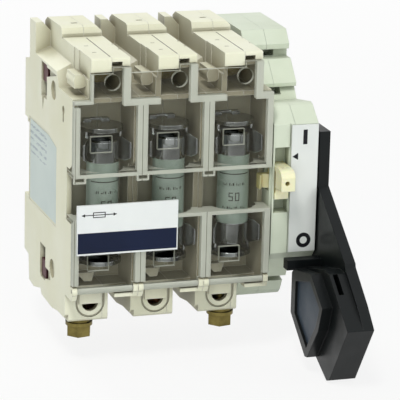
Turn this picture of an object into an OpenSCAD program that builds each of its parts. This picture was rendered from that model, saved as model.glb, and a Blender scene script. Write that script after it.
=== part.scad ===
// Three-pole fuse switch disconnector for 14 x 51 mm cartridge fuses, rail mounted.
// X runs across the poles, -Y faces the user and Z is up.
// The origin lies in the rail seat, behind the middle pole. A "depth" is measured
// backwards from the front of the fuse cover.

/* [Poles] */
// Distance between the centres of two poles
pitch = 30; // [30:0.5:33]
// Depth from the front of the cover to the rail seat
seat_depth = 76; // [76:1:82]
// Thickness of the side walls of a pole
wall = 2.3; // [1.9:0.1:2.4]
// Height of the top of the side walls at the front
shoulder_z = 44.5; // [44.3:0.1:45]
// Height of the top face of the terminal block
top_z = 62; // [61.6:0.2:63]
// Height of the rear part of the terminal block
rear_top_z = 66.4; // [65.8:0.2:68]
// Height of the underside of the poles, below the origin
bottom_z = 58.5; // [58.4:0.1:60]
// Gap left between neighbouring mouldings
seam = 0.1; // [0.05:0.05:0.2]
// Clearance of pieces that sit in or on another
fit = 0.3; // [0.2:0.05:0.4]

/* [Rail seat] */
// Height of the mounting rail
rail_h = 35; // [34.8:0.1:35.2]
// Height of the recess that takes the rail
recess_h = 36.5; // [36:0.5:38]
// Length of the feet behind the rail seat
foot_l = 7.5; // [7:0.5:9]
// Distance from the centre line to the outer end of a foot
foot_z = 46; // [44:0.5:47]

/* [Fuses] */
// Diameter of the fuse caps
fuse_d = 14.3; // [14:0.1:14.5]
// Length of a fuse
fuse_l = 51; // [50:0.5:51.5]
// Length of a fuse cap
cap_l = 10; // [9.5:0.25:11]
// Height of the middle of the fuses
fuse_z = -0.6; // [-1:0.1:-0.2]
// Depth of the fuse axis
fuse_depth = 11; // [11:0.1:11.3]
// Offset of the fuse axis from the middle of its pole
fuse_x = 1; // [0.6:0.1:1.2]
// Thickness of the clip strip
clip_t = 0.8; // [0.7:0.1:1]

/* [Cover] */
// Thickness of the clear sheet
pane_t = 2; // [1.8:0.1:2.1]
// Step from the frosted ribs back to the clear sheet
rib_step = 0.7; // [0.5:0.1:0.8]
// Width of the ribs that cover two walls
rib_w = 4.7; // [4.4:0.1:5]
// Top of the finger groove
groove_top = 10; // [9.8:0.1:10.2]
// Bottom of the finger groove
groove_bottom = -8.5; // [-8.8:0.1:-8.2]
// Depth of the groove between two fuses
groove_depth = 9; // [8.6:0.1:9.2]
// Radius of the bead that turns on the hinge rod
bead_r = 1.6; // [1.5:0.05:1.7]
// Diameter of the hinge rod
rod_d = 1.8; // [1.6:0.1:1.9]
// Height of the hinge axis
hinge_z = -41; // [-41.1:0.05:-40.9]

/* [Switching parts] */
// Travel of a contact bar between off and on
bar_travel = 6.8; // [6:0.1:6.9]
// Height of the middle of a contact bar when off
bar_z = 45.2; // [45:0.1:45.3]
// Height of a contact bar
bar_h = 8; // [7.5:0.1:8.1]
// Thickness of the contact bars from front to back
bar_w = 7.8; // [7:0.1:8]
// Thickness of the copper strip
copper_t = 1.5; // [1.2:0.1:1.6]
// Diameter of the terminal screws
screw_d = 6; // [5:0.5:6]
// Space between closed contacts, for checking only
contact_gap = 0.05; // [0.05:0.05:0.2]

/* [Mechanism] */
// Width of the mechanism housing
mech_w = 21.6; // [21.2:0.1:23]
// Depth of the handle axis
axis_depth = 35; // [34.5:0.1:35.5]
// Diameter of the drive shaft
shaft_d = 14; // [12:0.5:15]
// Thickness of the front plate with the position marks
face_t = 0.8; // [0.6:0.1:1]
// Width of the front plate
face_w = 12.6; // [12:0.2:13]
// Travel of the cover latch
latch_travel = 4; // [3:0.5:4.4]
// Width of the cover latch
latch_w = 6.4; // [6:0.1:6.5]

/* [Handle] */
// Thickness of the handle plate
plate_t = 4.9; // [4.5:0.1:5.5]
// Radius of the hub of the handle
hub_r = 25; // [22:0.5:26]
// Distance from the handle plate to the inner face of the grip
grip_w = 17; // [16:0.5:17.4]
// Width of the part of the grip that runs to its tip
tip_w = 12.2; // [11:0.2:13]

/* [Hidden] */
$fn = 48;

poles = [0, 1, 2];
half = pitch / 2;
side_x = pitch * 1.5;
fuse_r = fuse_d / 2;
pane_back = rib_step + pane_t;
rib_back = pane_back + 0.3;
wall_front = rib_back + fit;
split_x = 2;
// Upper and lower terminal blocks, across one pole
upper_x = [-8, 10.2];
lower_x = [-13.3, 4.6];
lower_front = 12;
base_front = 24;
base_t = 3;
rear_wall = 3;
// Finger groove and the bulge round each fuse
bulge_out = fuse_depth - rib_step;
bulge_in = bulge_out - 1.4;
shelf_t = 1.6;
groove_back = groove_depth + shelf_t;
// Hinge of the cover
hinge_depth = bead_r;
ear_w = wall;
// Depths of the contacts, of the strip behind them and of the bars between
front_contact = base_front + 16;
rear_contact = seat_depth - 15;
riser_back = seat_depth - 7;
bar_front = (front_contact + rear_contact - bar_w) / 2 + 0.2;
// Windows that the contact bars move in
window_in = bar_z - bar_h / 2 - bar_travel - 0.4;
window_out = bar_z + bar_h / 2 + 0.6;
window_front = bar_front - 0.8;
window_back = bar_front + bar_w + 0.8;
bridge_z = bar_z - bar_h / 2;
pad_r = 2.2;
plate_r = 9.4;
plate_depth = fuse_depth + 2.4;
terminal_top = top_z - 3.7;
pad_h = 1.1;
pad_off = bridge_z - copper_t - pad_h;
pad_on = pad_off - bar_travel - contact_gap;
// Where the raised rear part of the terminal blocks begins
rear_step = seat_depth - 28;
// Rail latches in the lower feet
latch_slot = 12.4;
latch_x = -5.9;
hook_l = 1.9;
flange_t = 1.3;
// Mechanism, measured from the outer face of the last pole
mech_x = side_x + seam;
mech_end = mech_x + mech_w;
mech_split = mech_x + mech_w / 2;
face_x = mech_end - face_w;
channel_x = mech_x + 1.7;
channel_w = latch_w + 0.4;
channel_z = [-11.4, 18.4];
plate_x = mech_end + 0.5;
handle_end = plate_x + plate_t;

// Moves to the middle of a pole
module at_pole(k) {
    translate([(k - 1) * pitch, 0, 0]) children();
}

// Box between pairs of limits: across, in depth and in height
module block(x, d, z) {
    translate([x[0], d[0] - seat_depth, z[0]])
        cube([x[1] - x[0], d[1] - d[0], z[1] - z[0]]);
}

// Side outline, drawn as depth and height, run across from x0 to x1
module across(x0, x1) {
    translate([x0, -seat_depth, 0])
        rotate([90, 0, 90])
            linear_extrude(x1 - x0) children();
}

// Front outline, drawn across and in height, run backwards from depth d0 to d1
module deep(d0, d1) {
    translate([0, d1 - seat_depth, 0])
        rotate([90, 0, 0])
            linear_extrude(d1 - d0) children();
}

// Round bar along X, Y or Z, placed by its axis
module bar_x(x0, x1, d, z, r) {
    translate([x0, d - seat_depth, z]) rotate([0, 90, 0]) cylinder(h = x1 - x0, r = r);
}

module bar_y(d0, d1, x, z, r) {
    translate([x, d1 - seat_depth, z]) rotate([90, 0, 0]) cylinder(h = d1 - d0, r = r);
}

module bar_up(z0, z1, x, d, r) {
    translate([x, d - seat_depth, z0]) cylinder(h = z1 - z0, r = r);
}

// Outline of a side wall, with feet, finger groove and hinge ear
module wall_outline() {
    difference() {
        polygon([
            [wall_front, hinge_z + 3], [wall_front, shoulder_z], [26, shoulder_z],
            [30, shoulder_z + 5.5], [seat_depth - 16, shoulder_z + 5.5],
            [seat_depth - 8, shoulder_z + 2.1],
            [seat_depth, foot_z + 0.6], [seat_depth + foot_l, foot_z - 1],
            [seat_depth + foot_l, recess_h / 2], [seat_depth, recess_h / 2],
            [seat_depth, -recess_h / 2], [seat_depth + foot_l, -recess_h / 2],
            [seat_depth + foot_l, -foot_z + 1], [seat_depth, -foot_z],
            [seat_depth - 1.4, 0.8 - bottom_z], [seat_depth - 10, -bottom_z],
            [seat_depth - 22, 3 - bottom_z], [seat_depth - 24, 0.6 - bottom_z],
            [34, -bottom_z], [24, 1.6 - bottom_z],
            [lower_front + 2, 1.8 - bottom_z], [lower_front, 3.6 - bottom_z],
            [lower_front, hinge_z - 4.5], [2, hinge_z - 4.5], [0.4, hinge_z - 2],
            [hinge_depth, hinge_z], [hinge_depth + bead_r, hinge_z + 0.9]]);
        groove_notch();
    }
    translate([hinge_depth, hinge_z]) circle(r = bead_r + 0.4);
}

// Notch that lets the groove of the cover reach back between the fuses
module groove_notch() {
    polygon([
        [-1, groove_bottom - shelf_t - 1], [groove_back + 0.8, groove_bottom - shelf_t - 1],
        [groove_back + 0.8, groove_top + shelf_t + 1.2], [7, groove_top + shelf_t + 1.2],
        [wall_front - 0.1, groove_top + shelf_t + 3.6], [-1, groove_top + shelf_t + 3.6]]);
}

// Windows for the contact bars, with the stepped corners of the moulding
module bar_windows() {
    polygon([
        [window_front, window_in], [window_back, window_in],
        [window_back, window_out], [window_front, window_out]]);
    polygon([
        [window_front, -window_out], [window_back - 1.4, -window_out],
        [window_back, 1.4 - window_out], [window_back, -window_in],
        [window_front, -window_in]]);
}

module outer_recesses(x0, x1) {
    across(x0, x1) {
        polygon([[29, shoulder_z + 4.4], [window_front + 0.1, shoulder_z + 4.4],
            [window_front + 0.1, shoulder_z]]);
        polygon([[window_back - 4.6, window_in + 0.1], [window_back - 2.8, 27.5],
            [window_back - 1.2, window_in + 0.1]]);
        polygon([[37.2, -46.8], [37.8, -43.2], [window_front + 0.1, -43.2],
            [window_front + 0.1, -window_out + 1]]);
    }
    for (z = [41.2, -40.4]) bar_x(x0, x1, 34.4, z, 4.3);
    across(x0, x1) translate([18, 36.3]) {
        circle(r = 1.9);
        translate([-1.1, -5.4]) square([2.2, 5.4]);
    }
}

// Both halves of a pole as one solid
module pole_solid(k) {
    left = -half + seam / 2;
    right = half - seam / 2;
    difference() {
        union() {
            across(left, left + wall) wall_outline();
            intersection() {
                across(right - wall, right) wall_outline();
                block([-half, half], [0, seat_depth + foot_l], [-shoulder_z, shoulder_z]);
            }
            // Roof, floor, fuse base, rear wall and feet
            block([left, right], [20, seat_depth], [shoulder_z - 2.5, shoulder_z]);
            block([left, right], [wall_front, 20], [shoulder_z - 2.2, shoulder_z]);
            block([left, right], [lower_front, seat_depth], [-shoulder_z, -shoulder_z + 2.5]);
            block([left, right], [base_front, base_front + base_t], [-shoulder_z, shoulder_z]);
            block([left, right], [seat_depth - rear_wall, seat_depth], [-shoulder_z, shoulder_z]);
            block([left, right], [seat_depth - 0.1, seat_depth + foot_l],
                [recess_h / 2, foot_z - 1]);
            block([left, right], [seat_depth - 0.1, seat_depth + foot_l],
                [1 - foot_z, -recess_h / 2]);
            // Hook of the outer poles over the upper flange of the rail
            if (k != 1)
                block([left, right], [seat_depth + flange_t, seat_depth + 3],
                    [recess_h / 2 - hook_l, recess_h / 2 + 0.1]);
            upper_block();
            lower_block();
            // Sloped shoulder between the outer wall and the terminal block
            intersection() {
                deep(25, seat_depth - 8)
                    polygon([[left, shoulder_z - 1], [left, shoulder_z + 6.2],
                        [upper_x[0] + 0.5, shoulder_z + 9.4], [upper_x[0] + 0.5, shoulder_z - 1]]);
                across(left - 1, upper_x[0] + 1)
                    polygon([[26, shoulder_z - 1], [26, shoulder_z], [31.5, shoulder_z + 10],
                        [seat_depth - 8, shoulder_z + 10], [seat_depth - 8, shoulder_z - 1]]);
            }
            // Sill below the cover, between the lower block and the next pole
            block([lower_x[1] - 0.1, right - 0.1], [1.2, lower_front + 1],
                [hinge_z - 3.9, hinge_z - 2.2]);
        }
        // Chamber behind the upper terminal, and its open front
        block([upper_x[0] + 2.5, upper_x[1] - 2.2], [3, seat_depth - rear_wall],
            [shoulder_z - 0.01, 55.9]);
        block([upper_x[0] + 2.5, upper_x[1] - 2.2], [22, seat_depth - rear_wall],
            [shoulder_z - 0.01, terminal_top + fit / 2]);
        block([-4.5, 6.5], [rear_contact - 3.5, seat_depth - rear_wall],
            [shoulder_z - 3, shoulder_z + 1]);
        // Chamber behind the lower terminal
        block([lower_x[0] + 2.1, lower_x[1] - 1.6], [lower_front + 2.5, seat_depth - rear_wall],
            [2.5 - bottom_z, -shoulder_z + 0.01]);
        block([-6, lower_x[1] - 1.6], [rear_contact - 3.5, seat_depth - rear_wall],
            [-shoulder_z - 1, 3 - shoulder_z]);
        if (k != 1) latch_channel();
        across(-half - 1, half + 1) bar_windows();
        outer_recesses(left - 1, left + 1.5);
        // Shallow bed of the rating label on the outer wall
        across(left - 1, left + 0.25)
            polygon([[28.7, -19.4], [seat_depth - 0.4, -19.4], [seat_depth - 0.4, 19.8],
                [42, 19.8], [28.7, 17.2]]);
        // Slots for the clip tails
        for (s = [-1, 1])
            block([fuse_x - 4.2, fuse_x + 4.2], [base_front - 1, base_front + base_t + 1],
                s > 0 ? [pad_on - pad_h - copper_t - 0.2, pad_on - pad_h + 0.2]
                    : [-(pad_on - pad_h) - 0.2, -(pad_on - pad_h) + copper_t + 0.2]);
        // Half-round opening to the lower terminal
        intersection() {
            bar_y(lower_front - 3, lower_front + 4, -3.5, -50.3, 3.7);
            block([-10, 4], [lower_front - 3, lower_front + 4], [-55, -50.3]);
        }
        // Hole for the hinge rod of the cover
        bar_x(-half - 1, half + 1, hinge_depth, hinge_z, rod_d / 2 + 0.04);
        if (k != 1)
            bar_up(-bottom_z - 1, 4 - bottom_z, bolt_x(k), bolt_depth, screw_d / 2 + 0.3);
    }
}

// Terminal block on top of a pole, stepped and chamfered, with its rear flange
module upper_block() {
    difference() {
        across(upper_x[0], upper_x[1])
            polygon([
                [wall_front, shoulder_z - 1], [wall_front, 56], [2, 56], [2, top_z - 0.6],
                [2.6, top_z], [rear_step - 1, top_z], [rear_step - 1, top_z + 1.2],
                [rear_step, rear_top_z - 0.6], [rear_step + 2, rear_top_z],
                [seat_depth - 4, rear_top_z - 0.6],
                [seat_depth, rear_top_z - 3], [seat_depth, shoulder_z - 1]]);
        // Stepped left edge of the block
        block([upper_x[0] - 1, upper_x[0] + 0.8], [1, 20], [shoulder_z + 8, top_z + 1]);
        block([upper_x[0] - 1, upper_x[0] + 0.4], [19, 27], [shoulder_z + 8, top_z + 1]);
        // Notch in the front face above the cover
        block([split_x + 0.1, upper_x[1] + 1], [0, wall_front + 0.5], [55, 58.4]);
        block([split_x + 0.1, 6.7], [0, 9], [58, 60.3]);
        // Slanted rear corners and the vent slots between the steps
        rear_corner();
        for (d = [14, 27]) block([-3.4, -1.4], [d, d + 1], [top_z - 1, top_z + 1]);
        block([-1.8, 1.2], [rear_step + 6, rear_step + 8], [rear_top_z - 1, rear_top_z + 1]);
        block([upper_x[1] - 0.8, upper_x[1] + 1], [18, 19.6], [top_z - 6, top_z + 1]);
        block([upper_x[1] - 0.8, upper_x[1] + 1], [28, 29.6], [top_z - 6, top_z + 1]);
        // Groove between the front part and the raised rear part
        block([upper_x[0] - 1, upper_x[1] + 1], [rear_step - 2.6, rear_step - 1],
            [top_z - 0.8, top_z + 1]);
    }
    // Rear flange that reaches over to the next pole
    deep(seat_depth - 10, seat_depth)
        polygon([
            [-half + seam / 2, shoulder_z - 1], [-half + seam / 2, rear_top_z - 1.5],
            [-half + 3.4, rear_top_z - 1.5], [upper_x[0] + 0.2, rear_top_z - 6],
            [upper_x[0] + 0.2, shoulder_z - 1]]);
    // Peg beside the block
    block([-12.8, -10.3], [8, 20], [48, 54]);
    bar_y(8, 20, -10.3, 51, 3);
}

module rear_corner() {
    translate([upper_x[1], rear_step - seat_depth + 24, rear_top_z])
        rotate([0, 45, 0]) cube([3.4, 50, 3.4], center = true);
}

// Front of the lower terminal, with its arched pad
module lower_block() {
    difference() {
        across(lower_x[0], lower_x[1])
            polygon([
                [lower_front, 3.6 - bottom_z], [lower_front, -shoulder_z + 1],
                [seat_depth, -shoulder_z + 1], [seat_depth, -foot_z],
                [seat_depth - 1.4, 0.8 - bottom_z], [seat_depth - 10, -bottom_z],
                [seat_depth - 22, 3 - bottom_z], [seat_depth - 24, 0.6 - bottom_z],
                [34, -bottom_z], [lower_front + 1, -bottom_z],
                [lower_front, 1 - bottom_z]]);
        // Ring cut round the arched pad
        difference() {
            union() {
                bar_y(lower_front - 1, lower_front + 0.8, -3.5, -50.3, 6.6);
                block([-10.1, 3.1], [lower_front - 1, lower_front + 0.8], [-50.3, -40]);
            }
            bar_y(lower_front - 2, lower_front + 2, -3.5, -50.3, 5.7);
            block([-9.2, 2.2], [lower_front - 2, lower_front + 2], [-50.3, -40]);
        }
    }
    // Flap that closes the upper half of the opening
    block([-8.6, 1.6], [lower_front - 1, lower_front + 0.1], [-50.3, -44.6]);
    // Guide above the flap, open to the fuse space
    deep(lower_front + 1, base_front)
        polygon([[-9.5, -36.5], [-1.5, -36.5], [-2.6, -40.5], [-6, -40.5]]);
    block([-12.7, 3.5], [17, base_front + 1], [-37, -33.8]);
}

module pole_half(k, side) {
    x0 = side < 0 ? -half - 1 : split_x + seam / 2;
    x1 = side < 0 ? split_x - seam / 2 : half + 1;
    at_pole(k) intersection() {
        pole_solid(k);
        block([x0, x1], [-2, seat_depth + foot_l + 1], [-80, 80]);
    }
}

// Fuses: glazed ceramic tube with a plated cap at each end
module fuse_body(k) {
    inner = fuse_l - 2 * cap_l;
    at_pole(k) color([0.56, 0.63, 0.58]) {
        bar_up(fuse_z - inner / 2, fuse_z + inner / 2, fuse_x, fuse_depth, fuse_r - 0.1);
        bar_up(fuse_z - fuse_l / 2 + 1, fuse_z + fuse_l / 2 - 1, fuse_x, fuse_depth, fuse_r - 0.8);
    }
}

module fuse_cap(k, side) {
    end = fuse_l / 2;
    at_pole(k) color([0.55, 0.57, 0.58])
        translate([fuse_x, fuse_depth - seat_depth, fuse_z])
            mirror([0, 0, side > 0 ? 0 : 1])
                rotate_extrude($fn = 64)
                    polygon([
                        [0, end - 0.95], [fuse_r - 0.75, end - 0.95],
                        [fuse_r - 0.75, end - cap_l + 0.05], [fuse_r, end - cap_l + 0.05],
                        [fuse_r, end - 0.8], [fuse_r - 0.8, end], [0, end]]);
}

// Spring clip of one fuse end: base strip, two flared arms, end plate and contact tail
module fuse_clip(k, side) {
    arm_in = fuse_r + 0.12;
    arm_out = arm_in + clip_t;
    z_in = fuse_l / 2 - cap_l - 0.1;
    z_out = z_in + 12.8;
    plate_z = fuse_l / 2 + fuse_z * side + 3.5;
    base_back = base_front - 0.1;
    tail_z = pad_on - pad_h;
    at_pole(k) color([0.62, 0.63, 0.63]) mirror([0, 0, side > 0 ? 0 : 1]) {
        difference() {
            translate([fuse_x, 0, z_in])
                linear_extrude(z_out - z_in)
                    translate([0, -seat_depth])
                        clip_outline(arm_in, arm_out, base_back);
            // Slanted ends of the lips
            for (s = [-1, 1]) {
                translate([fuse_x + s * (arm_out + 3.2), 4 - seat_depth, z_out])
                    rotate([0, s * 32, 0]) cube([8, 12, 8], center = true);
                translate([fuse_x + s * (arm_out + 4.4), 4 - seat_depth, z_in])
                    rotate([0, s * -40, 0]) cube([6, 12, 5], center = true);
            }
        }
        // Rounded end plate with its turned rim, on a neck from the base strip
        translate([fuse_x, plate_depth - seat_depth, plate_z]) difference() {
            cylinder(h = 1.8, r = plate_r);
            translate([0, 0, -1]) cylinder(h = 1 + 1.8 - clip_t, r = plate_r - clip_t);
        }
        block([fuse_x - 4.6, fuse_x + 4.6], [plate_depth + plate_r - 1, base_back],
            [plate_z + 1.8 - clip_t, plate_z + 1.8]);
        block([fuse_x - 6, fuse_x + 6], [base_back - clip_t, base_back],
            [z_in, max(tail_z, plate_z + 1.8)]);
        // Folded lugs beside the neck
        for (x = [-6, 2.2])
            block([fuse_x + x, fuse_x + x + 3.4], [base_back - 3.4, base_back],
                [plate_z + 1.8 - 0.01, plate_z + 1.8 + clip_t]);
        // Tail through the base, with its fixed contact
        block([fuse_x - 4, fuse_x + 4], [base_back - clip_t, front_contact + 3],
            [tail_z - copper_t, tail_z]);
        bar_up(tail_z - 0.1, pad_on, fuse_x, front_contact, pad_r);
    }
}

module clip_outline(arm_in, arm_out, base_back) {
    translate([-arm_out, base_back - clip_t]) square([2 * arm_out, clip_t]);
    for (s = [0, 1]) mirror([s, 0]) {
        translate([arm_in, 8]) square([clip_t, base_back - 8]);
        polygon([[arm_in, 8], [arm_out, 8], [arm_out + 2.8, 4.6], [arm_out + 2.8, 3.6],
            [arm_out + 2.1, 3.6]]);
    }
}

// Upper terminal: copper strip from its contact up and forward to the screw
module upper_terminal(k) {
    low = pad_on - pad_h;
    at_pole(k) color([0.72, 0.45, 0.25]) difference() {
        union() {
            across(-2.8, 5)
                polygon([
                    [rear_contact - 3, low - copper_t], [riser_back, low - copper_t],
                    [riser_back, terminal_top], [26, terminal_top], [26, 46],
                    [26 + copper_t, 46], [26 + copper_t, terminal_top - copper_t],
                    [riser_back - copper_t, terminal_top - copper_t],
                    [riser_back - copper_t, low], [rear_contact - 3, low]]);
            bar_up(low - 0.1, pad_on, fuse_x, rear_contact, pad_r);
        }
        bar_y(25, 29, 2.2, 51.5, screw_d / 2 + 0.05);
    }
}

function bolt_x(k) = k == 0 ? -6.5 : -0.8;
bolt_depth = 19;

// Lower terminal: copper strip from its contact down and forward to the bolt
module lower_terminal(k) {
    low = pad_on - pad_h;
    run = 2.5 - bottom_z + fit / 2;
    at_pole(k) color([0.72, 0.45, 0.25]) difference() {
        union() {
            across(-4.2, 2.6)
                polygon([
                    [rear_contact - 3, -low], [riser_back - copper_t, -low],
                    [riser_back - copper_t, run + 1], [riser_back, run + 1],
                    [riser_back, -low + copper_t], [rear_contact - 3, -low + copper_t]]);
            block([-10.9, 2.8], [lower_front + 2.8, riser_back], [run, run + copper_t]);
            bar_up(-pad_on, -low + 0.1, fuse_x - 0.4, rear_contact, pad_r);
        }
        bar_up(run - 1, run + copper_t + 1, bolt_x(k), bolt_depth, screw_d / 2 + 0.05);
    }
}

module upper_terminal_screws() {
    color([0.75, 0.72, 0.6]) for (k = poles) at_pole(k) difference() {
        union() {
            bar_y(26 - 3.4, 26, 2.2, 51.5, screw_d / 2 + 2);
            bar_y(25, 40, 2.2, 51.5, screw_d / 2);
        }
        block([2.2 - 6, 2.2 + 6], [22, 26 - 1.8], [51.5 - 0.6, 51.5 + 0.6]);
    }
}

// Hexagon bolts of the outer lower terminals
module lower_terminal_bolts() {
    color([0.6, 0.55, 0.25]) for (k = [0, 2]) at_pole(k) {
        translate([bolt_x(k), bolt_depth - seat_depth, -bottom_z - 8.2])
            rotate([0, 0, 12]) cylinder(h = 5, r = 11.5 / 2, $fn = 6);
        bar_up(-bottom_z - 3.3, -bottom_z - 1.7, bolt_x(k), bolt_depth, 6);
        bar_up(-bottom_z - 1.8, -bottom_z - 0.05, bolt_x(k), bolt_depth, 5.2);
        bar_up(-bottom_z - 4, 9 - bottom_z, bolt_x(k), bolt_depth, screw_d / 2);
    }
}

// Insulating bars that carry the moving contacts through all three poles
module contact_bar(side) {
    color([0.3, 0.1, 0.13])
        block([-side_x + seam + 0.7, mech_x + 12], [bar_front, bar_front + bar_w],
            side > 0 ? [bar_z - bar_h / 2, bar_z + bar_h / 2]
                : [-bar_z - bar_h / 2, -bar_z + bar_h / 2]);
}

module bridges(side) {
    color([0.75, 0.5, 0.3]) mirror([0, 0, side > 0 ? 0 : 1]) for (k = poles) at_pole(k) {
        block([fuse_x - 3.6, fuse_x + 3.2], [front_contact - 2.5, rear_contact + 2.5],
            [bridge_z - copper_t, bridge_z]);
        for (d = [front_contact, rear_contact])
            bar_up(pad_off, bridge_z - copper_t + 0.1, fuse_x - 0.4, d, pad_r);
    }
}

// Clear fuse cover with frosted ribs, one moulding
module fuse_cover() {
    color([0.6, 0.62, 0.58, 0.5]) difference() {
        union() {
            cover_panes();
            cover_ribs();
            cover_groove();
            // Bead pieces between the ears of the poles
            for (k = poles) at_pole(k)
                bar_x(-half + ear_w + 0.3, half - ear_w - 0.3, hinge_depth, hinge_z, bead_r);
            for (k = poles) at_pole(k)
                block([-half + ear_w + 0.3, half - ear_w - 0.3],
                    [rib_step, pane_back], [hinge_z + 0.6, hinge_z + 3]);
        }
        for (k = poles) at_pole(k) {
            // Openings for a test probe at both fuse ends
            block([-7.2, 2.4], [-1, 5], [20.8, 28]);
            block([-7.8, 1.6], [-1, 5], [-32.2, -25.2]);
            // Opening for a screwdriver
            bar_y(-1, 5, 2.2, 51.5, 3.5);
        }
        bar_x(-side_x - 1, side_x + 1, hinge_depth, hinge_z, rod_d / 2 + 0.06);
        // Open left end of the groove
        block([-side_x - 1, -side_x + 2.4], [1.5, groove_back + 1],
            [groove_bottom + 0.01, groove_top - 0.01]);
        // Open corner that the latch reaches through
        block([side_x - 4.1, side_x + 1], [-1, groove_back + 1],
            [groove_bottom + 0.01, groove_top - 0.01]);
    }
}

module cover_panes() {
    low = hinge_z + 2.6;
    for (part = [[low, groove_bottom - 0.1], [groove_top + 0.1, shoulder_z - 0.5]])
        block([-side_x + 0.2, side_x - 0.2], [rib_step, pane_back], part);
    block([-side_x + 7.5, side_x - 4.8], [rib_step, pane_back], [shoulder_z - 1, 55.4]);
    for (k = poles) at_pole(k)
        block([split_x + 0.4, upper_x[1] - 0.1], [rib_step, pane_back], [55, 58]);
}

module cover_ribs() {
    low = hinge_z + 2.6;
    edges = [[-side_x + 0.1, -side_x + 2.8], [half - side_x + half - rib_w / 2 + 0.75,
        half - side_x + half + rib_w / 2 + 0.75], [side_x - pitch - rib_w / 2 + 0.75,
        side_x - pitch + rib_w / 2 + 0.75], [side_x - 2.5, side_x + 0.1]];
    for (x = edges) {
        block(x, [0, rib_back], [low, groove_bottom - 0.1]);
        block(x, [0, rib_back], [groove_top + 0.1, shoulder_z - 3.3]);
    }
    // Small open frames that hang from the ribs into the groove
    for (i = [0, 1, 2]) {
        x = edges[i][0];
        for (part = [[x, x + 0.8], [x + 4.8, x + 5.6]])
            block(part, [0, 1.4], [groove_top - 2.4, groove_top + 0.1]);
        block([x, x + 5.6], [0, 1.4], [groove_top - 2.4, groove_top - 1.6]);
    }
    block([-side_x + 0.1, -side_x + 7.5], [0, rib_back], [shoulder_z - 1.9, shoulder_z - 0.5]);
    block([-side_x + 7.5, -side_x + 8.6], [0, rib_back], [shoulder_z - 1.9, 55.4]);
    for (k = poles) at_pole(k) {
        block([6.9, upper_x[1] - 0.1], [0, rib_back], [shoulder_z - 3.3, 58]);
        block([6.9, k == 2 ? half + 0.1 : 23.6], [0, rib_back],
            [shoulder_z - 3.3, shoulder_z - 0.5]);
    }
}

// Finger groove across the cover, which bulges forward round each fuse
module cover_groove() {
    for (k = poles) at_pole(k) {
        for (z = [groove_bottom - shelf_t, groove_top])
            translate([0, -seat_depth, z]) linear_extrude(shelf_t) difference() {
                translate([-half, 0]) square([pitch, groove_back]);
                translate([fuse_x, fuse_depth]) circle(r = bulge_in);
            }
        translate([0, -seat_depth, groove_bottom - 0.1])
            linear_extrude(groove_top - groove_bottom + 0.2) {
                difference() {
                    translate([-half, groove_depth]) square([pitch, shelf_t]);
                    translate([fuse_x, fuse_depth]) circle(r = bulge_out - 0.1);
                }
                intersection() {
                    translate([fuse_x, fuse_depth]) difference() {
                        circle(r = bulge_out);
                        circle(r = bulge_in);
                    }
                    translate([-half, 0]) square([pitch, groove_back]);
                }
            }
    }
    // Narrow spines between the poles
    for (x = [-half, half])
        block([x - 1.1, x + 1.1], [groove_depth - 1.4, groove_depth + 0.1],
            [groove_bottom - 0.1, groove_top + 0.1]);
}

module cover_hinge_rod() {
    color([0.7, 0.71, 0.72])
        bar_x(-side_x + 0.3, side_x - 0.3, hinge_depth, hinge_z, rod_d / 2);
}

module label_plate() {
    color([0.92, 0.93, 0.93]) deep(-1.2, -0.05) translate([-side_x + 1.5, -24.2])
        square([45.6, 22.4]);
}

// Side outline of the mechanism housing: a staircase of slanted steps
module mech_outline() {
    front = face_t + 0.2;
    back = seat_depth + foot_l;
    polygon([
        [front, -30], [4, -33.5], [seat_depth - 49, -36.5], [seat_depth - 41.5, -47.4],
        [seat_depth - 39.5, -52.4], [seat_depth - 31.4, -52.8], [seat_depth - 31.4, -55],
        [seat_depth - 35.2, -56], [seat_depth - 32.6, -61], [seat_depth - 30, -63.5],
        [back - 1, -63.5], [back, -62.5], [back, -recess_h / 2], [seat_depth, -recess_h / 2],
        [seat_depth, recess_h / 2], [seat_depth + flange_t, recess_h / 2],
        [seat_depth + flange_t, recess_h / 2 - hook_l], [seat_depth + 3, recess_h / 2 - hook_l],
        [seat_depth + 3, recess_h / 2], [back, recess_h / 2], [back, 60.3], [back - 1, 61.3],
        [seat_depth - 29, 61.3], [seat_depth - 34, 55.4], [seat_depth - 33.6, 53],
        [seat_depth - 31, 52.6], [seat_depth - 31, 49.2], [seat_depth - 36.4, 49.2],
        [seat_depth - 45, 40], [seat_depth - 44.6, 38.2], [seat_depth - 42, 38],
        [seat_depth - 46, 32.6], [12, 35.8], [9.4, 35.2], [front, 28.6]]);
}

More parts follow.
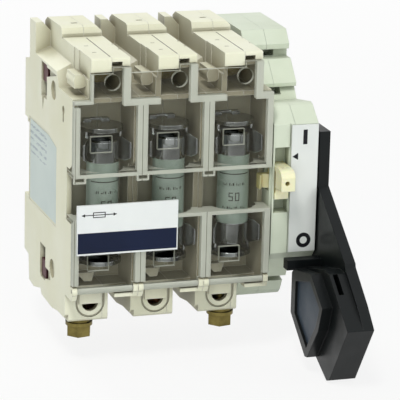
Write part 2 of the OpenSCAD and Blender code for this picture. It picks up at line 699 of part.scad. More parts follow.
module mechanism_half(side) {
    x0 = side < 0 ? mech_x : mech_split + seam / 2;
    x1 = side < 0 ? mech_split - seam / 2 : mech_end;
    color([0.78, 0.83, 0.75]) difference() {
        across(x0, x1) mech_outline();
        // Panel line beside the front plate
        block([face_x - 0.5, face_x - 0.1], [0, face_t + 0.8], [-31, 29]);
        block([mech_x - 1, mech_x + 0.9], [0, face_t + 1.6], [-34, 34]);
        // Dark wells under the two slanted steps
        block([mech_x + 8.4, mech_x + 15.2], [seat_depth - 38, seat_depth - 24], [49.5, 52.3]);
        block([mech_x + 7.6, mech_x + 14.6], [seat_depth - 51, seat_depth - 36], [34.6, 37.7]);
        // Channel and travel space of the latch
        block([channel_x, channel_x + channel_w], [-1, 9.2], channel_z);
        block([channel_x - 0.7, channel_x + channel_w + 0.7], [3.4, 9.2], channel_z);
        block([mech_x - 1, channel_x + 1], [3.4, 9.2], [-2, 10]);
        // Space for the ends of the contact bars
        block([mech_x - 1, mech_x + 13], [window_front, window_back], [window_in, window_out]);
        block([mech_x - 1, mech_x + 13], [window_front, window_back], [-window_out, -window_in]);
        // Shaft bore and the chamber of the shaft disc
        bar_x(mech_split - 4, mech_end + 1, axis_depth, 0, shaft_d / 2 + 0.05);
        bar_x(mech_split - 4, mech_split + 4, axis_depth, 0, 18.5);
        // Rear chamber
        block([mech_x + 2.4, mech_end - 2.4], [seat_depth - 18, seat_depth - rear_wall],
            [-56, 56]);
    }
}

module front_plate() {
    color([0.9, 0.92, 0.92]) deep(0, face_t) translate([face_x, -29.6])
        square([face_w - 0.2, 58]);
}

// Slot of a rail latch in the back of a lower foot, with its undercut
module latch_channel() {
    back = seat_depth + foot_l;
    block([latch_x - latch_slot / 2, latch_x + latch_slot / 2],
        [seat_depth + 3, back + 1], [-foot_z - 2, 1 - recess_h / 2]);
    block([latch_x - latch_slot / 2 - 1, latch_x + latch_slot / 2 + 1],
        [seat_depth + 3, seat_depth + 5], [-foot_z - 2, 1 - recess_h / 2]);
    block([latch_x - latch_slot / 2, latch_x + latch_slot / 2],
        [seat_depth + flange_t - 0.3, seat_depth + 4], [-recess_h / 2 - 5.6, 1 - recess_h / 2]);
}

// Spring latch that grips the lower flange of the rail, pulled down to let go
module rail_latch(k) {
    half_w = latch_slot / 2 - 0.2;
    low = -foot_z - 6;
    at_pole(k) color([0.16, 0.17, 0.18]) difference() {
        union() {
            block([latch_x - half_w, latch_x + half_w], [seat_depth + 3.2, seat_depth + foot_l - 0.2],
                [low, -recess_h / 2]);
            block([latch_x - half_w - 1, latch_x + half_w + 1],
                [seat_depth + 3.2, seat_depth + 4.8], [-foot_z + 3, -recess_h / 2 - 1]);
            translate([latch_x - half_w, 0, 0]) across(0, 2 * half_w)
                polygon([
                    [seat_depth + flange_t, -recess_h / 2 - 1], [seat_depth + flange_t,
                    hook_l - recess_h / 2], [seat_depth + 3.2, hook_l - recess_h / 2],
                    [seat_depth + 6, -recess_h / 2 - 1]]);
        }
        // Eye for a screwdriver tip
        block([latch_x - 2.4, latch_x + 2.4], [seat_depth, seat_depth + foot_l + 1],
            [low + 1.6, low + 4]);
    }
}

// Latch of the cover: a rounded nose with an eye, and a wing behind the groove
module cover_latch() {
    x0 = channel_x + 0.2;
    color([0.95, 0.92, 0.68]) difference() {
        union() {
            across(x0, x0 + latch_w) {
                polygon([[-8, 0.6], [-8, 6.8], [-7.2, 8.4], [-5.6, 9.5], [-3.4, 10], [0.4, 10],
                    [8.8, 10], [8.8, -5], [0.4, -5], [0.4, 0.6]]);
            }
            block([x0 - 0.6, x0 + latch_w + 0.6], [3.9, 8.8], [-5, 9]);
            block([side_x - 3.8, x0 + 0.1], [3.9, 8.8], [-1, 5.4]);
        }
        translate([x0 + latch_w / 2 - 0.4, -8.1 - seat_depth, 4.3])
            rotate([-90, 0, 0]) cylinder(h = 6, r = 1);
        translate([side_x - 4.4, 3 - seat_depth, -2])
            rotate([0, 0, -35]) cube([7, 5, 10], center = false);
    }
}

module drive_shaft() {
    color([0.25, 0.25, 0.27]) difference() {
        union() {
            bar_x(mech_split - 3.7, plate_x - 0.05, axis_depth, 0, shaft_d / 2);
            bar_x(mech_split - 3, mech_split + 3, axis_depth, 0, 18);
            across(plate_x - 0.1, handle_end - 3)
                translate([axis_depth - 3.4, -3.4]) square(6.8);
        }
        bar_x(handle_end - 12, handle_end + 1, axis_depth, 0, 2.05);
    }
}

// Side handle with its broad grip, drawn in the off position
module handle() {
    grip_x = mech_end + 5.4 - grip_w;
    tip_x = handle_end - tip_w;
    color([0.05, 0.06, 0.07]) difference() {
        union() {
            across(plate_x, handle_end) {
                intersection() {
                    translate([axis_depth, 0]) circle(r = hub_r);
                    translate([0, -40]) square([80, 80]);
                }
                polygon([
                    [axis_depth, -hub_r], [axis_depth, hub_r - 0.2], [13, hub_r - 0.2],
                    [0, hub_r - 0.2], [0, 0], [-35.9, -25.3], [-36.4, -27], [-52, -39.4],
                    [-60.6, -47.7], [-40.5, -76.4], [-37.6, -77.5], [-22, -70.6],
                    [1, -53.6], [14, -40]]);
            }
            across(tip_x, handle_end)
                polygon([
                    [-3, -36], [-30, -29], [-36.4, -29.4], [-60.6, -47.7], [-41, -76.2],
                    [-38, -77.3], [-24, -71], [-3, -56.5]]);
            across(grip_x, tip_x + 0.1)
                polygon([
                    [-3, -38], [-6, -35.5], [-27, -32], [-42, -42.7], [-38, -54],
                    [-25.5, -70.4], [-22.5, -70.9], [-3, -56.5]]);
            // Tongue that runs below the front plate
            block([face_x - 2.6, plate_x + 1], [-6.5, -1.5], [-36, -31.5]);
        }
        // Square hole on the shaft, recess of the screw and the padlock slot
        across(plate_x - 1, handle_end - 2.9)
            translate([axis_depth - 3.45, -3.45]) square(6.9);
        bar_x(handle_end - 3, handle_end + 1, axis_depth, 0, 2.3);
        bar_x(handle_end - 2.4, handle_end + 1, axis_depth, 0, 4.6);
        across(tip_x + 1.6, tip_x + 3.8)
            polygon([[-38.6, -26], [-47, -33.2], [-17, -76.2], [-8.6, -69]]);
        // Hollow inner face of the grip
        across(grip_x - 1, grip_x + 1.2)
            polygon([[-8, -40.6], [-26, -35.4], [-38.4, -44], [-35, -52.6], [-24, -66.6],
                [-8, -55.4]]);
    }
}

module handle_screw() {
    color([0.7, 0.7, 0.7]) difference() {
        union() {
            bar_x(handle_end - 11, handle_end - 0.4, axis_depth, 0, 2);
            bar_x(handle_end - 2.35, handle_end - 0.3, axis_depth, 0, 4.5);
        }
        block([handle_end - 1.3, handle_end + 1], [axis_depth - 6, axis_depth + 6], [-0.5, 0.5]);
    }
}

cream = [0.93, 0.91, 0.8];

module pole1_left_shell() { color(cream) pole_half(0, -1); }
module pole1_right_shell() { color(cream) pole_half(0, 1); }
module pole2_left_shell() { color(cream) pole_half(1, -1); }
module pole2_right_shell() { color(cream) pole_half(1, 1); }
module pole3_left_shell() { color(cream) pole_half(2, -1); }
module pole3_right_shell() { color(cream) pole_half(2, 1); }

pole1_left_shell();
pole1_right_shell();
pole2_left_shell();
pole2_right_shell();
pole3_left_shell();
pole3_right_shell();
fuse_body(0);  // fuse1_body
fuse_body(1);  // fuse2_body
fuse_body(2);  // fuse3_body
fuse_cap(0, 1);  // fuse1_upper_cap
fuse_cap(1, 1);  // fuse2_upper_cap
fuse_cap(2, 1);  // fuse3_upper_cap
fuse_cap(0, -1);  // fuse1_lower_cap
fuse_cap(1, -1);  // fuse2_lower_cap
fuse_cap(2, -1);  // fuse3_lower_cap
fuse_clip(0, 1);  // upper_clip1
fuse_clip(1, 1);  // upper_clip2
fuse_clip(2, 1);  // upper_clip3
fuse_clip(0, -1);  // lower_clip1
fuse_clip(1, -1);  // lower_clip2
fuse_clip(2, -1);  // lower_clip3
upper_terminal(0);  // upper_terminal1
upper_terminal(1);  // upper_terminal2
upper_terminal(2);  // upper_terminal3
lower_terminal(0);  // lower_terminal1
lower_terminal(1);  // lower_terminal2
lower_terminal(2);  // lower_terminal3
upper_terminal_screws();
lower_terminal_bolts();
contact_bar(1);  // upper_contact_bar
contact_bar(-1);  // lower_contact_bar
bridges(1);  // upper_bridges
bridges(-1);  // lower_bridges
fuse_cover();
cover_hinge_rod();
label_plate();
mechanism_half(-1);  // mechanism_left_half
mechanism_half(1);  // mechanism_right_half
front_plate();
cover_latch();
drive_shaft();
handle();
handle_screw();
rail_latch(0);  // rail_latch_left
rail_latch(2);  // rail_latch_right
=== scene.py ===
"""Fuse switch disconnector: materials, printed marks, small parts, light and camera."""

import math
import bpy
import bmesh
from mathutils import Matrix, Vector


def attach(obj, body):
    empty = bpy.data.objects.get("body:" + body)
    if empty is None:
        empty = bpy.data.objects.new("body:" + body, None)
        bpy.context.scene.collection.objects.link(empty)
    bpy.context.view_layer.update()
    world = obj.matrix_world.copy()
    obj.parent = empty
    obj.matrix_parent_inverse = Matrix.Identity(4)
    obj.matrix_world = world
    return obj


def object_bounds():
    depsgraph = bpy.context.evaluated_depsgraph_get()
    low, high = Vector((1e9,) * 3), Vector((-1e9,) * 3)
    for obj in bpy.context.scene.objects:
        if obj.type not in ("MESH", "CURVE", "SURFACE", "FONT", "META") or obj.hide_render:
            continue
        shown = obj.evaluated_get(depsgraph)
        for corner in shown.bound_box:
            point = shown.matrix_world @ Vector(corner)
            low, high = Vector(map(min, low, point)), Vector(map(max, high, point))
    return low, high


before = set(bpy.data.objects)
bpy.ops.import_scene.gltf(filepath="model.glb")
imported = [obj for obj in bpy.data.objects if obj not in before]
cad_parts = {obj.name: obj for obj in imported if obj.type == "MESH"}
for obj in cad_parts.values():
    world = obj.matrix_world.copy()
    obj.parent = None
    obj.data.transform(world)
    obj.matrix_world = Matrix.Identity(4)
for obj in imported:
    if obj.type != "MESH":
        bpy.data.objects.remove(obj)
cad_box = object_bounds()

SEAT = 76.0  # depth of the rail seat behind the front of the cover, mm
PITCH = 30.0


def at(x, d, z):
    """A point given in mm: across, depth behind the cover's front, height."""
    return Vector((x, d - SEAT, z)) / 1000


def linear(rgb):
    """0 to 255 display colour to the linear colour that sockets take."""
    out = []
    for c in rgb:
        c = c / 255
        out.append(c / 12.92 if c <= 0.04045 else ((c + 0.055) / 1.055) ** 2.4)
    return (*out, 1.0)


# ---------------------------------------------------------------- materials

class Mat:
    """A material being built, with short names for its nodes and links."""

    def __init__(self, name):
        self.mat = bpy.data.materials.new(name)
        self.mat.use_nodes = True
        self.tree = self.mat.node_tree
        self.bsdf = self.tree.nodes["Principled BSDF"]
        self.coords = self.node("ShaderNodeTexCoord")

    def node(self, kind, **values):
        n = self.tree.nodes.new(kind)
        for key, value in values.items():
            if hasattr(n, key):
                setattr(n, key, value)
            else:
                n.inputs[key.replace("_", " ")].default_value = value
        return n

    def link(self, a, b):
        self.tree.links.new(a, b)

    def set(self, **values):
        for key, value in values.items():
            self.bsdf.inputs[key.replace("_", " ")].default_value = value

    def noise(self, scale, detail=3.0, stretch=(1, 1, 1), rough=0.55):
        m = self.node("ShaderNodeMapping")
        m.inputs["Scale"].default_value = stretch
        self.link(self.coords.outputs["Object"], m.inputs["Vector"])
        n = self.node("ShaderNodeTexNoise", Scale=scale, Detail=detail, Roughness=rough)
        self.link(m.outputs["Vector"], n.inputs["Vector"])
        return n.outputs["Fac"]

    def spread(self, value, low, high, start=0.35, end=0.65):
        r = self.node("ShaderNodeMapRange")
        for key, v in zip(("From Min", "From Max", "To Min", "To Max"), (start, end, low, high)):
            r.inputs[key].default_value = v
        self.link(value, r.inputs["Value"])
        return r.outputs["Result"]

    def mix(self, factor, a, b, mode="MIX"):
        n = self.node("ShaderNodeMix", data_type="RGBA", blend_type=mode)
        for socket, v in ((n.inputs["Factor"], factor), (n.inputs["A"], a), (n.inputs["B"], b)):
            if isinstance(v, bpy.types.NodeSocket):
                self.link(v, socket)
            else:
                socket.default_value = v
        return n.outputs["Result"]

    def edge(self, radius, bump_height=None, bump_strength=0.2, distance=0.0002):
        """Rounded edges in the shading, with a fine bump over them."""
        bevel = self.node("ShaderNodeBevel", samples=4)
        bevel.inputs["Radius"].default_value = radius
        normal = bevel.outputs["Normal"]
        if bump_height is not None:
            bump = self.node("ShaderNodeBump", Strength=bump_strength, Distance=distance)
            self.link(bump_height, bump.inputs["Height"])
            self.link(normal, bump.inputs["Normal"])
            normal = bump.outputs["Normal"]
        self.link(normal, self.bsdf.inputs["Normal"])

    def painted_shade(self, colour, dark, reach=0.006, strength=0.8):
        """Painted shade: darkens corners and slots a little, by ambient occlusion."""
        ao = self.node("ShaderNodeAmbientOcclusion", samples=6)
        ao.inputs["Distance"].default_value = reach
        inv = self.spread(ao.outputs["AO"], strength, 0.0, 0.25, 0.9)
        return self.mix(inv, colour, dark)

    def painted_highlight(self, colour, bright, radius=0.0004):
        """Painted highlight: lightens the edges, as if they caught the light."""
        bevel = self.node("ShaderNodeBevel", samples=4)
        bevel.inputs["Radius"].default_value = radius
        flat = self.node("ShaderNodeNewGeometry")
        dot = self.node("ShaderNodeVectorMath", operation="DOT_PRODUCT")
        self.link(bevel.outputs["Normal"], dot.inputs[0])
        self.link(flat.outputs["Normal"], dot.inputs[1])
        return self.mix(self.spread(dot.outputs["Value"], 1.0, 0.0, 0.78, 0.98), colour, bright)

    def colour(self, value):
        if isinstance(value, bpy.types.NodeSocket):
            self.link(value, self.bsdf.inputs["Base Color"])
        else:
            self.bsdf.inputs["Base Color"].default_value = value


def moulded(name, rgb, warm, dark, rough=(0.42, 0.55), grain=2600, radius=0.00035,
            strength=0.14, spec=0.45, deep_shade=None, edge=None):
    """Thermoset or thermoplastic moulding: cloudy tone, fine grain, soft edges."""
    m = Mat(name)
    cloud = m.spread(m.noise(26, 4), 0.0, 1.0)
    base = m.mix(cloud, linear(rgb), linear(warm))
    flow = m.spread(m.noise(90, 3, (1, 1, 0.25)), 0.0, 0.35)
    base = m.mix(flow, base, linear(warm))
    # Painted shade in corners and slots, and a second, wider painted shade in larger recesses when its
    # colour is given
    base = m.painted_shade(base, linear(dark))
    if deep_shade:
        base = m.painted_shade(base, linear(deep_shade), 0.028, 0.8)
    # Painted highlight along the edges when an edge colour is given
    m.colour(m.painted_highlight(base, linear(edge), 0.0003) if edge else base)
    m.link(m.spread(m.noise(60, 3), *rough), m.bsdf.inputs["Roughness"])
    m.set(Specular_IOR_Level=spec)
    m.edge(radius, m.noise(grain, 2), strength, 0.00012)
    return m


def metal(name, rgb, dull, rough=(0.18, 0.38), stretch=(1, 1, 14), radius=0.0002, edge=None):
    m = Mat(name)
    stain = m.spread(m.noise(120, 4), 0.0, 0.8)
    base = m.mix(stain, linear(rgb), linear(dull))
    # Painted shade in corners and slots
    base = m.painted_shade(base, linear([c * 0.4 for c in dull]), 0.003, 0.6)
    # Painted highlight along the edges when an edge colour is given
    m.colour(m.painted_highlight(base, linear(edge)) if edge else base)
    m.set(Metallic=1.0)
    m.link(m.spread(m.noise(200, 3, stretch), *rough), m.bsdf.inputs["Roughness"])
    m.edge(radius, m.noise(240, 2), 0.03, 0.0001)
    return m


def clear(name, rgb, alpha, rough, grain=0.0, tint=None, spec=0.6, coat=0.0, edge=None):
    m = Mat(name)
    tone = m.spread(m.noise(40, 3), 0.0, 0.6)
    base = m.mix(tone, linear(rgb), linear(tint or rgb))
    # Painted highlight along the edges when an edge colour is given
    m.colour(m.painted_highlight(base, linear(edge), 0.0003) if edge else base)
    m.set(Alpha=alpha, Specular_IOR_Level=spec, Coat_Weight=coat, Coat_Roughness=0.05)
    m.link(m.spread(m.noise(70, 3), rough * 0.8, rough * 1.25), m.bsdf.inputs["Roughness"])
    if grain:
        m.edge(0.0003, m.noise(1800, 2), grain, 0.0001)
    else:
        m.edge(0.0003)
    return m


def stripe(m, x, half, limits, rgb):
    """Fine dark joint line at x mm and every pitch from there, within limits."""
    sep = m.node("ShaderNodeSeparateXYZ")
    m.link(m.coords.outputs["Object"], sep.inputs["Vector"])
    turns = m.node("ShaderNodeMath", operation="MULTIPLY_ADD")
    turns.inputs[1].default_value = 1000 / PITCH
    turns.inputs[2].default_value = 10.5 - x / PITCH
    m.link(sep.outputs["X"], turns.inputs[0])
    fract = m.node("ShaderNodeMath", operation="FRACT")
    m.link(turns.outputs[0], fract.inputs[0])
    near = m.node("ShaderNodeMath", operation="COMPARE")
    near.inputs[1].default_value, near.inputs[2].default_value = 0.5, half / PITCH
    m.link(fract.outputs[0], near.inputs[0])
    line = near.outputs[0]
    for axis, start, end in limits:
        part = m.node("ShaderNodeMath", operation="MULTIPLY")
        m.link(line, part.inputs[0])
        m.link(m.spread(sep.outputs[axis], 0.0, 1.0, start, end), part.inputs[1])
        line = part.outputs[0]
    plain = m.bsdf.inputs["Base Color"].links[0].from_socket
    m.colour(m.mix(line, plain, linear(rgb)))


# In each moulding below, the third colour is painted shade in corners and slots; on the cream one a second,
# wider painted shade darkens its larger recesses
CREAM = moulded("cream_moulding", (247, 246, 226), (240, 238, 212), (138, 132, 98),
                deep_shade=(150, 143, 122), edge=(254, 253, 244))
# The edge colour of the cream moulding is a painted highlight on its edges
# The joint of the two halves shows as a dark line along the top of each block
stripe(CREAM, -28.0, 0.24, (("Z", 0.0520, 0.0521), ("Y", -0.0330, -0.0332), ("Y", -0.0712, -0.0710)),
       (84, 78, 60))
# The edge colour of the grey-green moulding is a painted highlight on its edges
GREY = moulded("grey_green_moulding", (226, 233, 216), (214, 222, 202), (122, 128, 106),
               edge=(240, 246, 234))
PALE = moulded("pale_plate", (238, 240, 238), (229, 232, 230), (150, 152, 150), radius=0.0002)
MAROON = moulded("maroon_bar", (88, 28, 36), (70, 22, 30), (32, 10, 14), spec=0.3)
YELLOW = moulded("pale_yellow_tab", (253, 250, 222), (250, 244, 204), (210, 196, 130),
                 rough=(0.25, 0.38), spec=0.5)
YELLOW.set(Subsurface_Weight=0.25, Subsurface_Radius=(0.004, 0.003, 0.001), Subsurface_Scale=0.5)
BLACK = moulded("black_handle", (15, 20, 21), (11, 15, 16), (5, 7, 7), rough=(0.3, 0.42),
                grain=1500, radius=0.0005, strength=0.06, spec=0.22)
BLUE_GREY = moulded("grip_recess", (52, 66, 82), (44, 56, 70), (20, 24, 30), rough=(0.4, 0.55),
                    strength=0.08, spec=0.4)
SHAFT = moulded("dark_shaft", (70, 72, 76), (58, 60, 64), (24, 24, 26))
CERAMIC = moulded("fired_ceramic", (207, 228, 216), (193, 214, 202), (122, 136, 124),
                  rough=(0.22, 0.4), grain=700, strength=0.08, spec=0.5)
CERAMIC.set(Coat_Weight=0.3, Coat_Roughness=0.12)
# The edge colour of the nickel is a painted highlight on the edges of clips and caps
NICKEL = metal("nickel_plate", (146, 150, 148), (84, 88, 86), (0.05, 0.16), (1, 1, 4),
               edge=(236, 240, 240))
STEEL = metal("bright_rod", (198, 200, 204), (170, 172, 176), stretch=(14, 1, 1))
COPPER = metal("bare_copper", (214, 150, 104), (160, 104, 70), (0.25, 0.45))
BRASS = metal("yellow_passivated_steel", (132, 120, 70), (74, 65, 36), (0.26, 0.45))
PANE = clear("smoky_pane", (128, 124, 110), 0.07, 0.05, tint=(116, 112, 98), spec=0.5)
# The edge colour of the frosted ribs is a painted highlight on their edges
FROST = clear("frosted_rib", (209, 211, 198), 0.76, 0.42, grain=0.3, tint=(190, 192, 179),
              edge=(238, 238, 228))
stripe(FROST, -14.25, 0.16, (("Y", -0.0757, -0.0758), ("Z", 0.0412, 0.0411)), (118, 116, 104))
GROOVE = clear("clear_bulge", (150, 148, 136), 0.06, 0.04, tint=(136, 134, 122), spec=0.5)
WHITE = moulded("label_white", (244, 246, 246), (238, 240, 241), (200, 202, 204),
                rough=(0.28, 0.36), grain=900, radius=0.0002, strength=0.04)
INK = moulded("printed_ink", (20, 20, 24), (26, 26, 30), (10, 10, 12), strength=0.05, spec=0.2)
NAVY = moulded("label_navy", (20, 31, 60), (17, 27, 53), (10, 14, 30), rough=(0.34, 0.44),
               strength=0.04, spec=0.18)
SEPIA = moulded("fuse_print", (70, 74, 66), (84, 86, 76), (50, 52, 46), strength=0.05)


def sticker_material():
    """Pale printed sticker: rows of fine grey print in its upper rear corner."""
    m = Mat("rating_sticker")
    sep = m.node("ShaderNodeSeparateXYZ")
    m.link(m.coords.outputs["Object"], sep.inputs["Vector"])

    def bands(axis, period, share, offset=0.0):
        add = m.node("ShaderNodeMath", operation="MULTIPLY_ADD")
        add.inputs[1].default_value = 1000 / period
        add.inputs[2].default_value = offset + 100
        m.link(sep.outputs[axis], add.inputs[0])
        fract = m.node("ShaderNodeMath", operation="FRACT")
        m.link(add.outputs[0], fract.inputs[0])
        less = m.node("ShaderNodeMath", operation="LESS_THAN")
        less.inputs[1].default_value = share
        m.link(fract.outputs[0], less.inputs[0])
        return less.outputs[0]

    rows = bands("Z", 3.1, 0.42)
    words = m.spread(m.noise(260, 1, (1, 1, 6)), 0.0, 1.0, 0.44, 0.5)
    # Rows of print fill only the upper rear corner
    height = m.spread(sep.outputs["Z"], 0.0, 1.0, 0.0035, 0.0036)
    rear = m.spread(sep.outputs["Y"], 0.0, 1.0, -0.0300, -0.0298)
    corner = m.node("ShaderNodeMath", operation="MULTIPLY")
    m.link(height, corner.inputs[0])
    m.link(rear, corner.inputs[1])
    printed = m.node("ShaderNodeMath", operation="MULTIPLY")
    m.link(corner.outputs[0], printed.inputs[0])
    m.link(words, printed.inputs[1])
    words = printed.outputs[0]
    both = m.node("ShaderNodeMath", operation="MULTIPLY")
    m.link(rows, both.inputs[0])
    m.link(words, both.inputs[1])
    soft = m.node("ShaderNodeMath", operation="MULTIPLY")
    soft.inputs[1].default_value = 0.55
    m.link(both.outputs[0], soft.inputs[0])
    paper = m.mix(m.spread(m.noise(30, 3), 0, 1), linear((214, 226, 222)), linear((204, 217, 214)))
    m.colour(m.mix(soft.outputs[0], paper, linear((120, 136, 158))))
    m.set(Roughness=0.4, Specular_IOR_Level=0.4)
    m.edge(0.0001, m.noise(700, 2), 0.05, 0.0001)
    return m


STICKER = sticker_material()


def dress(node, *mats):
    """Puts materials in the slots of a CAD node."""
    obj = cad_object(node)
    obj.data.materials.clear()
    for m in mats:
        obj.data.materials.append(m.mat)
    return obj


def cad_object(node):
    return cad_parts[node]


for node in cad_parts:
    if node.startswith("pole"):
        dress(node, CREAM)
    elif node.endswith("_body"):
        dress(node, CERAMIC)
    elif node.endswith("_cap") or "clip" in node:
        dress(node, NICKEL)
    elif "screws" in node or "bolts" in node:
        dress(node, BRASS)
    elif "terminal" in node or "bridges" in node:
        dress(node, COPPER)
    elif "contact_bar" in node:
        dress(node, MAROON)
    elif node.startswith("mechanism"):
        dress(node, GREY)
    elif node.startswith("rail_latch"):
        dress(node, SHAFT)
dress("front_plate", PALE)
dress("label_plate", WHITE)
dress("cover_hinge_rod", STEEL)
dress("handle_screw", STEEL)
dress("drive_shaft", SHAFT)
dress("cover_latch", YELLOW)
# The recess in the side of the grip is a duller, bluish face.
grip = dress("handle", BLACK, BLUE_GREY)
for face in grip.data.polygons:
    p, n = grip.matrix_world @ face.center * 1000, grip.matrix_world.to_3x3() @ face.normal
    face.material_index = 1 if n.x < -0.9 and p.z < -35 and 56 < p.x < 57 else 0

# The cover's faces are clear, frosted or bulged by their place on it.
cover = dress("fuse_cover", PANE, FROST, GROOVE)
for face in cover.data.polygons:
    c, n = face.center * 1000, face.normal
    depth = c.y + SEAT
    on_pane = 0.6 < depth < 2.8 and abs(n.y) > 0.9
    in_groove = -10.2 < c.z < 11.7 and depth > 1.0 and abs(n.z) < 0.5
    face.material_index = 0 if on_pane else 2 if in_groove else 1


# ---------------------------------------------------------------- small pieces

def mesh_piece(name, verts, faces, mat, body):
    mesh = bpy.data.meshes.new(name)
    mesh.from_pydata([tuple(v) for v in verts], [], faces)
    mesh.validate()
    obj = bpy.data.objects.new(name, mesh)
    bpy.context.scene.collection.objects.link(obj)
    mesh.materials.append(mat.mat)
    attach(obj, body)
    return obj


def plates(name, outlines, place, thick, mat, body, bevel=0.0):
    """Thin raised plates: 2-D outlines in mm, put on the object by place(u, v, t)."""
    verts, faces = [], []
    for outline in outlines:
        start, count = len(verts), len(outline)
        for t in (0.0, thick):
            verts += [place(u, v, t) for u, v in outline]
        faces.append(list(range(start, start + count)))
        faces.append(list(range(start + 2 * count - 1, start + count - 1, -1)))
        for i in range(count):
            j = (i + 1) % count
            faces.append([start + j, start + i, start + count + i, start + count + j])
    obj = mesh_piece(name, verts, faces, mat, body)
    fix_normals(obj)
    if bevel:
        mod = obj.modifiers.new("edge", "BEVEL")
        mod.width, mod.segments, mod.limit_method = bevel / 1000, 2, "ANGLE"
    return obj


def fix_normals(obj):
    bm = bmesh.new()
    bm.from_mesh(obj.data)
    bmesh.ops.recalc_face_normals(bm, faces=bm.faces)
    bm.to_mesh(obj.data)
    bm.free()


def box2(u0, u1, v0, v1):
    return [(u0, v0), (u1, v0), (u1, v1), (u0, v1)]


def ring_sectors(cu, cv, r0, r1, count=32):
    """A ring as quads, so that it can be drawn as several closed outlines."""
    out = []
    for i in range(count):
        a, b = 2 * math.pi * i / count, 2 * math.pi * (i + 1) / count
        out.append([(cu + r * math.cos(t), cv + r * math.sin(t))
                    for r, t in ((r0, a), (r1, a), (r1, b), (r0, b))])
    return out


def front(depth):
    """Places outlines on a face that looks towards the user."""
    return lambda u, v, t: at(u, depth - t, v)


# Position marks and the pointer on the front plate
plates("mark_on", [box2(59.4, 61.3, 19.6, 26.2)], front(0.0), 0.08, INK, "base")
plates("mark_off", ring_sectors(61.0, -24.4, 1.7, 3.4), front(0.0), 0.08, INK, "base")
plates("pointer", [[(54.6, 14.2), (57.2, 12.7), (57.2, 15.8)]], front(0.0), 0.08, INK, "base")

# Printed front of the label plate: navy band, plain symbol of a fuse switch
label = front(-1.2)
plates("label_band", [box2(-43.1, 1.6, -23.4, -14.2)], label, 0.06, NAVY, "cover")
symbol = [box2(-36.4, -30.8, -5.3, -4.95), box2(-36.4, -30.8, -7.45, -7.1), box2(-36.4, -36.05, -7.1, -5.3),
          box2(-31.15, -30.8, -7.1, -5.3), box2(-41.4, -36.4, -6.37, -6.03),
          box2(-36.05, -31.15, -6.37, -6.03), box2(-30.8, -25.8, -6.37, -6.03),
          [(-41.4, -6.2), (-40.0, -5.5), (-40.0, -6.9)], [(-25.8, -6.2), (-27.2, -6.9), (-27.2, -5.5)]]
plates("label_symbol", symbol, label, 0.06, INK, "cover")
# Rating sticker in its bed on the outer wall
side = lambda u, v, t: at(-44.7 - t, u, v)
plates("rating_sticker", [[(29.6, -18.4), (74.6, -18.4), (74.6, 18.8), (42.4, 18.8), (29.6, 16.4)]],
       side, 0.08, STICKER, "base")


def fuse_print(k):
    """Two printed bands and a plain number on a fuse body."""
    cx, cd, r = (k - 1) * PITCH + 1.0, 11.0, 7.05 + 0.03
    strokes = {"5": ["top", "ul", "mid", "lr", "bot"], "0": ["top", "ul", "ur", "ll", "lr", "bot"]}
    seg = {"top": (0, 2.0, 3.4, 3.85), "mid": (0, 2.0, 1.7, 2.15), "bot": (0, 2.0, 0, 0.45),
           "ul": (0, 0.45, 1.9, 3.85), "ur": (1.55, 2.0, 1.9, 3.85), "ll": (0, 0.45, 0, 1.95),
           "lr": (1.55, 2.0, 0, 1.95)}
    rects = []
    for i, digit in enumerate("50"):
        for s in strokes[digit]:
            a, b, c, d = seg[s]
            rects.append((a - 2.4 + i * 2.9, b - 2.4 + i * 2.9, c - 4.4, d - 4.4))
    rects += [(-7.5, 7.5, 7.6, 8.1), (-7.5, 7.5, -9.6, -9.1)]
    # Rows of short strokes stand for small print that can't be read
    for row, (low, high) in enumerate(((2.6, 3.8), (-8.0, -7.0))):
        u, j = -5.2, 0
        while u < 5.0:
            wide = (0.28, 0.7, 0.28, 0.5)[(j * 3 + row + k) % 4]
            rects.append((u, u + wide, low, high if (j + k) % 3 else (low + high) / 2))
            u += wide + (0.35, 0.42, 0.95)[(j + row) % 3]
            j += 1
    verts, faces = [], []
    for u0, u1, v0, v1 in rects:
        steps = max(1, int((u1 - u0) / 0.6))
        for i in range(steps):
            a, b = u0 + (u1 - u0) * i / steps, u0 + (u1 - u0) * (i + 1) / steps
            start = len(verts)
            for u, v in ((a, v0), (b, v0), (b, v1), (a, v1)):
                t = u / r - 0.12 * k
                verts.append(at(cx + r * math.sin(t), cd - r * math.cos(t), v - 1.2))
            faces.append([start, start + 1, start + 2, start + 3])
    mesh_piece("fuse_print_%d" % (k + 1), verts, faces, SEPIA, "base")


for k in range(3):
    fuse_print(k)

# Tubular rivets that hold the two halves of the mechanism together
profile = ((0.0, 0.05), (0.9, 0.05), (1.1, 0.42), (1.9, 0.45), (2.3, 0.3), (2.35, 0.0))
verts, faces = [], []
for d, z in ((69.5, 53.5), (52.5, 54.0), (69.5, 24.0), (69.5, -26.0), (69.5, -56.0), (52.5, -57.5)):
    for j in range(28):
        t = 2 * math.pi * j / 28
        for r, h in profile:
            verts.append(at(66.7 + h, d + r * math.cos(t), z + r * math.sin(t)))
    n = len(profile)
    base = len(verts) - 28 * n
    for j in range(28):
        for i in range(n - 1):
            a, b = base + j * n + i, base + (j + 1) % 28 * n + i
            faces.append([a, b, b + 1, a + 1])
fix_normals(mesh_piece("mechanism_rivets", verts, faces, STEEL, "base"))

# ---------------------------------------------------------------- stage, light, camera

def seen(nodes, links, rays):
    """1 for the rays that show the background: camera, glossy and transmission."""
    out = rays.outputs["Is Camera Ray"]
    for kind in ("Is Glossy Ray", "Is Transmission Ray"):
        most = nodes.new("ShaderNodeMath")
        most.operation = "MAXIMUM"
        links.new(out, most.inputs[0])
        links.new(rays.outputs[kind], most.inputs[1])
        out = most.outputs[0]
    return out


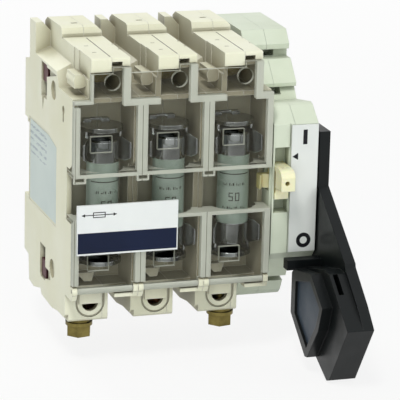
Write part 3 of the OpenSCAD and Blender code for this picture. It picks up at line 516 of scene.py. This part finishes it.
def stage():
    mat = bpy.data.materials.new("studio_paper")
    mat.use_nodes = True
    nodes, links = mat.node_tree.nodes, mat.node_tree.links
    bsdf, out = nodes["Principled BSDF"], nodes["Material Output"]
    noise = nodes.new("ShaderNodeTexNoise")
    noise.inputs["Scale"].default_value = 30
    ramp = nodes.new("ShaderNodeMapRange")
    ramp.inputs["To Min"].default_value, ramp.inputs["To Max"].default_value = 0.80, 0.84
    links.new(noise.outputs["Fac"], ramp.inputs["Value"])
    links.new(ramp.outputs["Result"], bsdf.inputs["Base Color"])
    bsdf.inputs["Roughness"].default_value = 0.9
    glow = nodes.new("ShaderNodeEmission")
    glow.inputs["Strength"].default_value = 1.0
    rays = nodes.new("ShaderNodeLightPath")
    shadow = nodes.new("ShaderNodeMixShader")
    # The floor takes shadows near the object and turns plain white further out
    place = nodes.new("ShaderNodeTexCoord")
    reach = nodes.new("ShaderNodeVectorMath")
    reach.operation = "LENGTH"
    links.new(place.outputs["Object"], reach.inputs[0])
    fade = nodes.new("ShaderNodeMapRange")
    for key, v in zip(("From Min", "From Max", "To Min", "To Max"), (0.25, 1.1, 0.86, 1.0)):
        fade.inputs[key].default_value = v
    links.new(reach.outputs["Value"], fade.inputs["Value"])
    links.new(fade.outputs["Result"], shadow.inputs["Fac"])
    links.new(bsdf.outputs[0], shadow.inputs[1])
    links.new(glow.outputs[0], shadow.inputs[2])
    mix = nodes.new("ShaderNodeMixShader")
    links.new(seen(nodes, links, rays), mix.inputs["Fac"])
    links.new(bsdf.outputs[0], mix.inputs[1])
    links.new(shadow.outputs[0], mix.inputs[2])
    links.new(mix.outputs[0], out.inputs["Surface"])
    z = cad_box[0].z - 0.0005
    verts = [(-6, -6, z), (6, -6, z), (6, 6, z), (-6, 6, z)]
    mesh = bpy.data.meshes.new("floor")
    mesh.from_pydata(verts, [], [(0, 1, 2, 3)])
    obj = bpy.data.objects.new("floor", mesh)
    bpy.context.scene.collection.objects.link(obj)
    mesh.materials.append(mat)


def lamp(name, place, target, size, power, colour=(1, 1, 1)):
    data = bpy.data.lights.new(name, "AREA")
    data.shape, data.size, data.energy, data.color = "DISK", size, power, colour
    obj = bpy.data.objects.new(name, data)
    bpy.context.scene.collection.objects.link(obj)
    obj.location = place
    obj.rotation_mode = "QUATERNION"
    obj.rotation_quaternion = (Vector(target) - Vector(place)).to_track_quat("-Z", "Y")


stage()
lamp("key", (-0.55, -0.95, 1.7), (0, -0.05, 0), 0.5, 18.0, (1.0, 0.985, 0.955))
lamp("fill", (-0.35, -1.6, 0.4), (0, -0.05, 0), 0.8, 5.0, (0.95, 1.0, 0.96))
lamp("right", (1.3, -1.0, 0.5), (0, -0.05, 0), 0.8, 3.5, (0.97, 0.98, 1.0))
lamp("rim", (-0.3, 1.1, 0.9), (0, -0.03, 0), 0.6, 5.0)

world = bpy.data.worlds.new("studio")
bpy.context.scene.world = world
world.use_nodes = True
wn, wl = world.node_tree.nodes, world.node_tree.links
back = wn["Background"]
back.inputs["Color"].default_value = (0.60, 0.645, 0.625, 1)
back.inputs["Strength"].default_value = 0.5
plain = wn.new("ShaderNodeBackground")
plain.inputs["Color"].default_value = (1, 1, 1, 1)
plain.inputs["Strength"].default_value = 1.0
rays = wn.new("ShaderNodeLightPath")
blend = wn.new("ShaderNodeMixShader")
wl.new(seen(wn, wl, rays), blend.inputs["Fac"])
wl.new(back.outputs[0], blend.inputs[1])
wl.new(plain.outputs[0], blend.inputs[2])
wl.new(blend.outputs[0], wn["World Output"].inputs["Surface"])

cam = bpy.data.cameras.new("camera")
cam.lens, cam.sensor_width = 241.7, 36.0
cam.clip_start, cam.clip_end = 0.01, 50
yaw, pitch, roll = 0.3196, 0.2773, 0.025
fwd = Vector((math.sin(yaw) * math.cos(pitch), math.cos(yaw) * math.cos(pitch), -math.sin(pitch)))
right = Vector((math.cos(yaw), -math.sin(yaw), 0))
up = right.cross(fwd)
r2 = right * math.cos(roll) + up * math.sin(roll)
u2 = up * math.cos(roll) - right * math.sin(roll)
turn = Matrix((r2, u2, -fwd)).transposed()
camera = bpy.data.objects.new("camera", cam)
bpy.context.scene.collection.objects.link(camera)
camera.matrix_world = Matrix.Translation((-0.3417, -1.1457, 0.3179)) @ turn.to_4x4()
bpy.context.scene.camera = camera
bpy.context.scene.view_settings.view_transform = "Standard"
